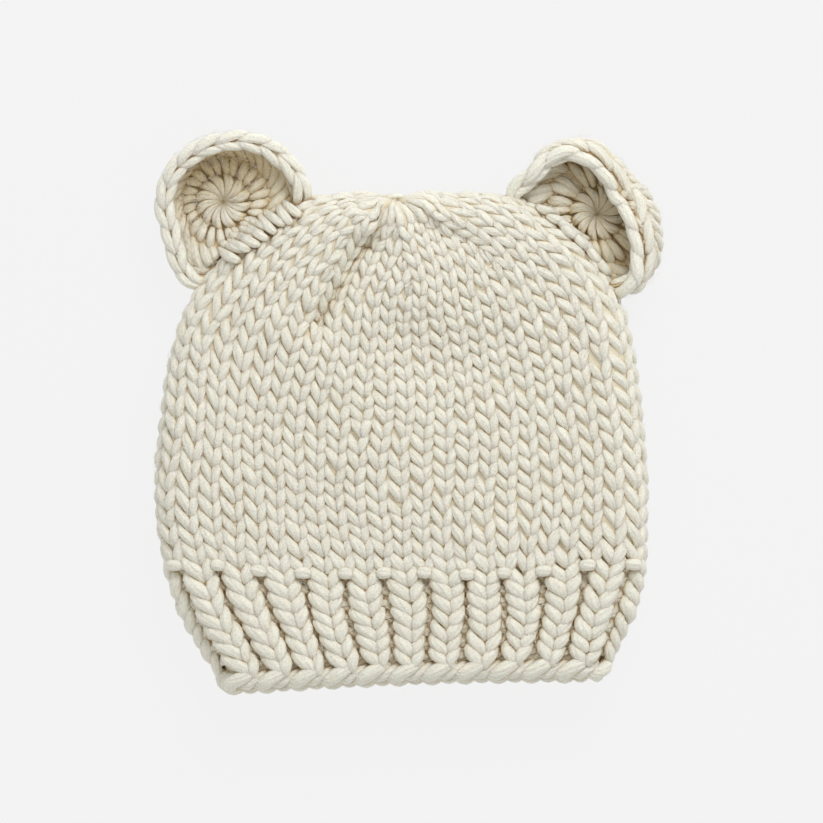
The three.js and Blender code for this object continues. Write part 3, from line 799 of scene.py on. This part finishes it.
def cup_shade(ear, points):
    """Shade painted in the cup, to match the photograph: 0 at the crest, 0.95 at most."""
    flat = points[..., :2] - np.array([ear["across"], ear["up"]])
    toward = flat @ np.array(ear["dark_side"]) / EAR_RADIUS
    below_crest = smooth(0.5, 6, EAR_REST + 13 - points[..., 2])
    return np.clip(ear["shade"] + ear["shade_rise"] * toward, 0, 0.95) * below_crest


def softened(values, times=2):
    for _ in range(times):
        values = np.convolve(np.pad(values, 1, mode="edge"), [0.25, 0.5, 0.25], mode="valid")
    return values


def ear_strand(ear, degrees, walked, depth, wide, crevice_shade):
    """A strand on the ear, as far as the crown's edge. depth above 0 is inside the cup."""
    outward, inward = ear_frame(ear, degrees, walked)
    path = ear_place(ear, degrees, walked) + inward * depth[..., None]
    kept = inside_crown(path) < ear["overlap"]
    if kept.sum() < 4:
        return []
    first, last = np.flatnonzero(kept)[[0, -1]]
    part = slice(first, last + 1)
    face = inward * np.where(depth.mean() > 0, 1, -1)
    path, face = path[part].copy(), face[part]
    crevice_shade = crevice_shade[part]
    if depth.mean() > 0:
        crevice_shade = 1 - (1 - crevice_shade) * (1 - cup_shade(ear, path))
    tone = rng.normal(1, 0.015)
    return [strand(path, face, wide[part], wide[part] * 0.9, crevice_shade, tone)]


def crochet_round(ear, count, start, stop, side, yarn, twist, spread, first=0.0):
    """One round of crochet: pairs of plump strands from start to stop, each a share of the way to the rim."""
    strands = []
    t = np.linspace(0, 1, 10)
    swell = np.sin(math.pi * np.clip(t * 0.96 + 0.02, 0, 1)) ** 0.55
    for stitch in range(count):
        for leg in (-1, 1):
            middle = first + 360 / count * (stitch + 0.5 + rng.normal(0, 0.04))
            length = ear_length(ear, np.array(middle))
            way = EAR_DISC + (length - EAR_DISC) * (start + (stop - start) * t)
            degrees = middle + 360 / count * (leg * spread * (0.75 + 0.25 * t) + twist * (t - 0.5))
            depth = side * (0.25 + 1.0 * np.sin(math.pi * t))
            gap = math.radians(360 / count) * way * 0.25
            wide = np.minimum(yarn, gap * 1.12) * (0.45 + 0.55 * swell) * (1 + rng.normal(0, 0.06))
            # Painted shade: darker at the strand's thin ends, where it dips under its neighbours.
            crevice_shade = np.clip(0.75 - 0.75 * swell, 0, 1)
            strands += ear_strand(ear, degrees, way, depth, wide, crevice_shade)
    return strands


PETAL_STRANDS = 24
PETAL_CLOSING = 4.7


def first_petals(ear, side):
    """The first round: twelve stitches worked into the drawn-up ring, each a pair of plump strands."""
    strands = []
    t = np.linspace(0, 1, 12)
    for petal in range(PETAL_STRANDS):
        closing = -PETAL_CLOSING if petal % 2 else PETAL_CLOSING
        degrees = 360 / PETAL_STRANDS * (petal + 0.5) + closing + rng.normal(0, 0.8)
        degrees = degrees + 22 * (t - 0.5) - 8 * np.sin(math.pi * t)
        way = 0.15 + EAR_DISC * (1 + rng.normal(0, 0.025)) * t
        wide = 0.3 + 1.22 * np.sin(math.pi * np.clip(t, 0, 0.96) ** 1.8) ** 0.75
        depth = side * (0.1 + 1.5 * np.sin(math.pi * t**1.4))
        # Painted shade: darker at the petal's ends.
        crevice_shade = np.clip(1 - 1.4 * np.sin(math.pi * t), 0, 1)
        strands += ear_strand(ear, degrees, way, depth, wide, crevice_shade)
    return strands


def rim_places(ear):
    """Turns a share of the rim's own length, from end to end, into a compass angle."""
    start, stop = ear["ends"]
    degrees = np.linspace(start - 40, stop + 40, 200)
    rim = ear_place(ear, degrees, ear_length(ear, degrees) + EDGING)
    walked = np.concatenate([[0], np.cumsum(length_of(np.diff(rim, axis=0)))])
    first, last = np.interp((start, stop), degrees, walked)
    return lambda share: np.interp(first + (last - first) * share, walked, degrees)


CHAIN_REACH = 1.6
CHAIN_LEAN = 56


def rim_chain(ear):
    """The last round's chain: each loop comes up out of the one before, a leg on each side of the rim."""
    strands = []
    degrees_at = rim_places(ear)
    t = np.linspace(0, 1, 14)
    for stitch in range(ear["loops"]):
        for leg, yarn in ((1, ear["inner_leg"]), (-1, ear["outer_leg"])):
            degrees = degrees_at(1 - (stitch - 0.2 + CHAIN_REACH * t) / ear["loops"]) + rng.normal(0, 0.8)
            length = ear_length(ear, degrees) + EDGING + SEAT - 0.5
            outward, inward = ear_frame(ear, degrees, length)
            lean = ear["loop_lean"] + (CHAIN_LEAN - ear["loop_lean"]) * smooth(0.05, 0.85, t)
            lean = leg * np.radians(lean + rng.normal(0, 5))
            face = outward * np.cos(lean)[:, None] + inward * np.sin(lean)[:, None]
            lift = 0.9 + 1.8 * np.sin(math.pi * np.clip(0.08 + 0.84 * t, 0, 1)) ** 0.7
            path = ear_place(ear, degrees, length) + face * lift[:, None]
            wide = yarn * (0.55 + 0.45 * np.sin(math.pi * np.clip(0.04 + t * 0.92, 0, 1)) ** 0.6)
            # Painted shade: darker at the loop's ends.
            crevice_shade = np.clip(0.5 - 0.7 * np.sin(math.pi * t), 0, 1)
            kept = inside_crown(path) < 2.5
            if kept.sum() > 4:
                # The chain's strands are made about 5% paler: painted light on the rim's crest.
                strands.append(strand(
                    path[kept], face[kept], wide[kept], wide[kept] * 0.9, crevice_shade[kept],
                    rng.normal(1.05, 0.015),
                ))
    return strands


def seam(ear):
    """Whip stitches, each of one or two strands side by side, that sew the ear down on the crown's edge."""
    strands = []
    t = np.linspace(0, 1, 12)
    first, last = ear["seam_ends"]
    slant_first, slant_last = ear["seam_slants"]
    centre = np.array([ear["across"], ear["up"]])
    ways = np.linspace(6, 60, 300)
    for stitch in range(ear["seam_stitches"]):
        share = (stitch + 0.5) / ear["seam_stitches"]
        angle = math.radians(first + (last - first) * share)
        ray = np.array([math.cos(angle), math.sin(angle)])
        edge = ways[np.argmax(inside_crown(centre + ways[:, None] * ray) > ear["seam_inset"])]
        slant = math.radians(slant_first + (slant_last - slant_first) * share + rng.normal(0, 6))
        for place in np.arange(ear["seam_strands"]) * 2 - (ear["seam_strands"] - 1):
            fanned = slant + 0.12 * place
            along = np.array([math.cos(fanned), math.sin(fanned)])
            beside = np.array([-along[1], along[0]])
            middle = centre + ray * (edge + rng.normal(0, 0.4)) + beside * 1.6 * place
            flat = middle + along * ((t - 0.5) * ear["seam_length"])[:, None]
            flat = flat + beside * (0.8 * (2 * t - 1) ** 2)[:, None]
            points = np.concatenate([flat, np.zeros((len(t), 1))], 1)
            height = np.maximum(softened(on_crown(points), 3) + 1.0, 10.5)
            height = height - 1.8 * np.abs(2 * t - 1) ** 4
            path = np.concatenate([flat, height[:, None]], 1)
            wide = ear["seam_yarn"] * (0.45 + 0.55 * np.sin(math.pi * np.clip(0.04 + t * 0.92, 0, 1)) ** 0.6)
            # Painted shade: darker at the stitch's ends.
            crevice_shade = np.clip(0.7 - 0.9 * np.sin(math.pi * t), 0, 1)
            up = np.tile([0.0, 0.0, 1.0], (len(t), 1))
            strands.append(strand(path, up, wide, wide * 0.9, crevice_shade, rng.normal(1, 0.015)))
    return strands


def rim_posts(ear):
    """The last round's posts: fat strands under the chain, two rows inside the cup and one outside."""
    strands = []
    degrees_at = rim_places(ear)
    t = np.linspace(0, 1, 12)
    for side, yarn in ((-1, ear["outer_post"]), (1, ear["inner_post"])):
        for row in (0, 1) if side > 0 else (0,):
            for post in range(ear["loops"]):
                degrees = degrees_at((post + 0.5 * row + 0.7 - 1.35 * (t - 0.5)) / ear["loops"])
                down = (0.9 if side > 0 else 1.1) + 3.8 * row
                length = ear_length(ear, degrees) - down + 2.0 * (t - 0.5)
                outward, inward = ear_frame(ear, degrees, length)
                base, bulge = (0.4, 0.7) if side > 0 else (0.1, 0.5)
                lift = side * (base + bulge * np.sin(math.pi * t))
                path = ear_place(ear, degrees, length) + inward * lift[:, None]
                wide = yarn * (0.5 + 0.5 * np.sin(math.pi * np.clip(0.05 + t * 0.9, 0, 1)) ** 0.6)
                # Painted shade: darker at the post's ends, and inside the cup darker still by the painted cup
                # shade.
                crevice_shade = np.clip(0.5 - 0.7 * np.sin(math.pi * t), 0, 1)
                if side > 0:
                    crevice_shade = 1 - (1 - crevice_shade) * (1 - cup_shade(ear, path))
                kept = inside_crown(path) < -2.5
                if kept.sum() > 4:
                    strands.append(strand(
                        path[kept], (side * inward)[kept], wide[kept], wide[kept] * 0.85, crevice_shade[kept],
                        rng.normal(1, 0.015),
                    ))
    return strands


# By compass angle: how far out the rim reaches, how wide it rolls and how far it curls over, in degrees.
LEFT_RIM = [
    (8, 1.2, 1, -45), (34, 1.12, 1.3, -30), (62, 1.03, 1.4, -12), (90, 0.93, 1.4, 2), (120, 0.89, 1.4, 4),
    (150, 0.9, 1.4, -8), (180, 0.92, 1.3, -20), (204, 0.92, 1.2, -28), (225, 1.04, 1.1, -35),
    (250, 1.26, 1, -50), (280, 1.1, 0.8, -85), (340, 1.1, 0.8, -85),
]
RIGHT_RIM = [
    (15, 0.76, 0.85, 75), (41, 0.68, 0.75, 64), (72, 0.78, 0.85, 60), (93, 0.99, 1, 60),
    (119, 1.12, 1, 28), (150, 1.16, 1, -5), (168, 1.28, 0.8, -50), (200, 1.1, 0.8, -85),
    (265, 1.1, 0.8, -85), (290, 1.2, 0.8, -10), (312, 1.12, 0.9, 58), (345, 0.87, 1, 75),
]
# Each ear: its rim and place, the half widths of its yarns, its matting, its seam, and the shade painted in
# its cup, whose side and strength are given.
left_ear = dict(
    rim=rim_curve(LEFT_RIM), ends=(2, 256), across=-64.4, up=169.7, to_hat=1, overlap=-2.6,
    loops=13, loop_lean=22, inner_leg=1.85, outer_leg=2.0, inner_post=1.7, outer_post=1.7,
    second_yarn=1.85, third_yarn=2.3, outer_stop=1.02, matting_lift=0.5,
    seam_ends=(-88, -3), seam_stitches=6, seam_slants=(-20, -48), seam_inset=-1.4, seam_strands=2,
    seam_length=9.0, seam_yarn=1.9, dark_side=(-0.1, 0.99), shade=0.6, shade_rise=0.75,
)
right_ear = dict(
    rim=rim_curve(RIGHT_RIM), ends=(-75, 173), across=70.6, up=165.3, to_hat=-1, overlap=-1.2,
    loops=10, loop_lean=14, inner_leg=1.75, outer_leg=2.35, inner_post=1.9, outer_post=2.2,
    second_yarn=2.2, third_yarn=2.9, outer_stop=0.8, matting_lift=0.0,
    seam_ends=(172, 282), seam_stitches=9, seam_slants=(-14, -50), seam_inset=-2.2, seam_strands=1,
    seam_length=8.5, seam_yarn=1.75, dark_side=(0.85, 0.5), shade=0.7, shade_rise=0.6,
)
OUTSIDE_YARN = 2.0
SHEET_PAST_RIM = 5.5
SHEET_SINK = 0.9


def ear_sheet(ear):
    """The mid-surface of an ear's wall, from the drawn-up ring to the rim."""
    def place(across, up):
        degrees = 360 * across
        points = ear_place(ear, degrees, up * (ear_length(ear, degrees) + SHEET_PAST_RIM))
        inward = ear_frame(ear, degrees, up * ear_length(ear, degrees))[1]
        rise = (SHEET_SINK + ear["matting_lift"]) * smooth(0.3, 0.5, up)
        points += inward * (rise - SHEET_SINK)[:, None]
        inside = np.clip(inside_crown(points) - 1.0, 0, None)
        centre = np.array([ear["across"], ear["up"]])
        pull = unit(centre - points[:, :2]) * inside[:, None]
        points[:, :2] += pull
        return points

    return place


# The matting in the cups is the same wool. Its colour is set browner, for the shade that the photograph shows.
shaded_matting = matted_fibre("matted wool fibre, deep in the cups", "#d9c59c")
for side_name, ear in (("left", left_ear), ("right", right_ear)):
    felted_backs(
        f"ear_{side_name}_felted_backs", ear_sheet(ear), 72, 24, shaded_matting,
    )
    cup = first_petals(ear, 1) + first_petals(ear, -1)
    for side in (1, -1):
        cup += crochet_round(ear, 12, -0.05, 0.45, side, ear["second_yarn"], 0.3, 0.25, first=4)
        stop, yarn = (1.02, ear["third_yarn"]) if side > 0 else (ear["outer_stop"], OUTSIDE_YARN)
        cup += crochet_round(ear, 15, 0.38, stop, side, yarn, 1.1, 0.25, first=9)
    cup += seam(ear)
    yarn_piece(f"ear_{side_name}_rounds", cup, crocheted_wool, [f"ear_{side_name}"])
    yarn_piece(
        f"ear_{side_name}_chain", rim_posts(ear) + rim_chain(ear), crocheted_wool,
        [f"ear_{side_name}_edging"],
    )

# The loose fibres: short hairs of the wool that stand off the yarn all over, a paler halo that softens its
# look and its outline. They are drawn at about three times the real girth, so that they show.
FIBRE_COUNT = 6000
EAR_FIBRE_COUNT = 700
FIBRE_GIRTH = 0.05


def loose_fibres(starts, outwards):
    """Short fine hairs, each rising from the yarn, bending and lying down again."""
    strands = []
    t = np.linspace(0, 1, 5)[:, None]
    directions = unit(rng.normal(0, 1, starts.shape))
    for start, outward, direction in zip(starts, outwards, directions):
        flat = unit(direction - outward * (direction @ outward))
        bend = np.cross(outward, flat) * rng.normal(0, 0.9)
        reach, rise = rng.uniform(1.5, 5.0), rng.uniform(0.2, 1.1)
        path = start + flat * reach * (t - 0.5) + bend * (t - 0.5) ** 2 * 4
        path = path + outward * rise * np.sin(math.pi * t)
        girth = FIBRE_GIRTH * np.array([1.0, 1.0, 1.0, 0.8, 0.4])
        strands.append(strand(path, np.tile(outward, (5, 1)), girth, girth, 0.0, 1.03))
    return strands


stray_wool = bpy.data.materials.new("single wool fibres")
stray_wool.use_nodes = True
stray_shader = stray_wool.node_tree.nodes["Principled BSDF"]
stray_shader.inputs["Base Color"].default_value = linear("#f6f3e9")
stray_shader.inputs["Roughness"].default_value = 1.0
turns = rng.random(FIBRE_COUNT)
rows = rng.uniform(0.3, RIB_ROWS + CROWN_ROWS - 1.5, FIBRE_COUNT)
roots = np.where(rows < RIB_ROWS, 3.0, 2.5) - 1.3 * smooth(22, 30, rows)
starts, outwards, _ = on_fabric(turns, rows, roots)
yarn_piece("loose_fibres", loose_fibres(starts, outwards), stray_wool, sides=3)
for side_name, ear in (("left", left_ear), ("right", right_ear)):
    degrees = rng.uniform(*ear["ends"], EAR_FIBRE_COUNT)
    walked = ear_length(ear, degrees) * np.sqrt(rng.uniform(0.05, 1.2, EAR_FIBRE_COUNT))
    facing = ear_frame(ear, degrees, walked)[1] * rng.choice([-1, 1, 1], EAR_FIBRE_COUNT)[:, None]
    starts = ear_place(ear, degrees, walked) + 2.8 * facing
    open_to_air = inside_crown(starts) < -2
    hairs = loose_fibres(starts[open_to_air], facing[open_to_air])
    yarn_piece(f"ear_{side_name}_loose_fibres", hairs, stray_wool, sides=3)

# The floor: a pale sheet of matt acrylic that gives off light, like a light table, so that it is as flat and
# pale as the photograph's and the hat throws hardly any shadow. From here on sizes are in metres.
FLOOR_SIZE = 3.0
floor_mesh = bpy.data.meshes.new("floor")
half = FLOOR_SIZE / 2
floor_corners = [(-half, -half, 0), (half, -half, 0), (half, half, 0), (-half, half, 0)]
floor_mesh.from_pydata(floor_corners, [], [(0, 1, 2, 3)])
floor = bpy.data.objects.new("floor", floor_mesh)
bpy.context.scene.collection.objects.link(floor)
floor_sheet = bpy.data.materials.new("pale acrylic, lit from below")
floor_sheet.use_nodes = True
floor_shader = floor_sheet.node_tree.nodes["Principled BSDF"]
floor_shader.inputs["Base Color"].default_value = linear("#404040")
floor_shader.inputs["Roughness"].default_value = 1.0
floor_shader.inputs["Specular IOR Level"].default_value = 0.0
floor_shader.inputs["Emission Color"].default_value = (1, 1, 1, 1)
floor_shader.inputs["Emission Strength"].default_value = 0.846
floor_mesh.materials.append(floor_sheet)
floor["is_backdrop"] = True

# The light: a pale room all round, and one large soft lamp beyond the crown, to the right.
world = bpy.data.worlds.new("pale room")
bpy.context.scene.world = world
world.use_nodes = True
world.node_tree.nodes["Background"].inputs["Color"].default_value = (1, 1, 1, 1)
world.node_tree.nodes["Background"].inputs["Strength"].default_value = 0.72
lamp = bpy.data.lights.new("soft box", "AREA")
lamp.shape = "RECTANGLE"
lamp.size = 0.8
lamp.size_y = 0.6
lamp.energy = 10.0
lamp_stand = bpy.data.objects.new("soft box", lamp)
lamp_stand.location = (0.38, 0.98, 0.92)
aim = np.array([0, 0.02, 0]) - np.array(lamp_stand.location)
lamp_stand.rotation_euler = (
    math.acos(-aim[2] / np.linalg.norm(aim)), 0, math.atan2(aim[0], -aim[1]) + math.pi,
)
bpy.context.scene.collection.objects.link(lamp_stand)
bpy.context.scene.view_settings.view_transform = "Standard"

# The camera looks straight down on the hat from far off. The picture is as wide as the photograph's at half
# the height of the hat.
CAMERA_HEIGHT = 2.4
HALF_WAY_UP = 0.012
PICTURE_WIDTH = 0.2963
camera = bpy.data.cameras.new("camera")
camera.sensor_width = 36.0
camera.lens = 36.0 * (CAMERA_HEIGHT - HALF_WAY_UP) / PICTURE_WIDTH
camera_stand = bpy.data.objects.new("camera", camera)
camera_stand.location = (0.00113, 0.0011, CAMERA_HEIGHT)
bpy.context.scene.collection.objects.link(camera_stand)
bpy.context.scene.camera = camera_stand

sizes = {"cad": [list(cad_low), list(cad_high)], "visual": [list(corner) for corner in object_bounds()]}
